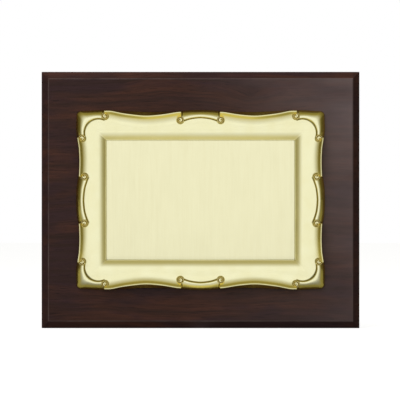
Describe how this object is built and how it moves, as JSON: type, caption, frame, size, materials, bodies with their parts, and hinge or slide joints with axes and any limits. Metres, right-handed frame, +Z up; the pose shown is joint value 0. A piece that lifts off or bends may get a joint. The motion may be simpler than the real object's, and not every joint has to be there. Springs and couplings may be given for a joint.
{
  "type": "award plaque",
  "caption": "Landscape wooden award plaque: bevelled dark board, scrolled gilt tray round a bare inscription plate, keyhole hanger and fold-out easel strut on a felted back.",
  "frame": {"origin": "middle of the board's lower edge, halfway through the board's thickness", "axes": "+X to the reader's right along the plaque's width, +Z up, -Y out of the inscribed face, +Y towards the wall"},
  "size_m": [0.248, 0.033, 0.2],
  "materials": {
    "dark_wood": "dark stained wood under satin lacquer",
    "gilt_sheet": "pale gold plated pressing, satin to bright",
    "gilt_plate": "pale gold plated flat plate, fine satin, bare of any inscription",
    "clear_glue": "transfer adhesive film",
    "foam_tape": "white double-sided foam tape",
    "black_felt": "short black felt",
    "plated_steel": "zinc plated stamped steel",
    "hardboard": "brown hardboard with cut edges",
    "bumper_rubber": "matt black rubber"
  },
  "bodies": {
    "plaque": {"board": "dark_wood", "salver": "gilt_sheet", "inscription_plate": "gilt_plate", "plate_glue": "clear_glue", "tray_tape": "foam_tape", "back_felt": "black_felt", "hanger_plate": "plated_steel", "hanger_screws": "plated_steel", "hinge_board_leaf": "plated_steel", "hinge_screws": "plated_steel", "hinge_pin": "plated_steel", "bumpers": "bumper_rubber"},
    "strut": {"hinge_strut_leaf": "plated_steel", "strut_panel": "hardboard", "strut_felt": "black_felt", "strut_rivets": "plated_steel"}
  },
  "joints": [
    {"name": "strut_hinge", "type": "hinge", "parent": "plaque", "child": "strut", "pos_m": [0, 0.01245, 0.12], "axis": [1, 0, 0], "range_deg": [0, 30]}
  ]
}
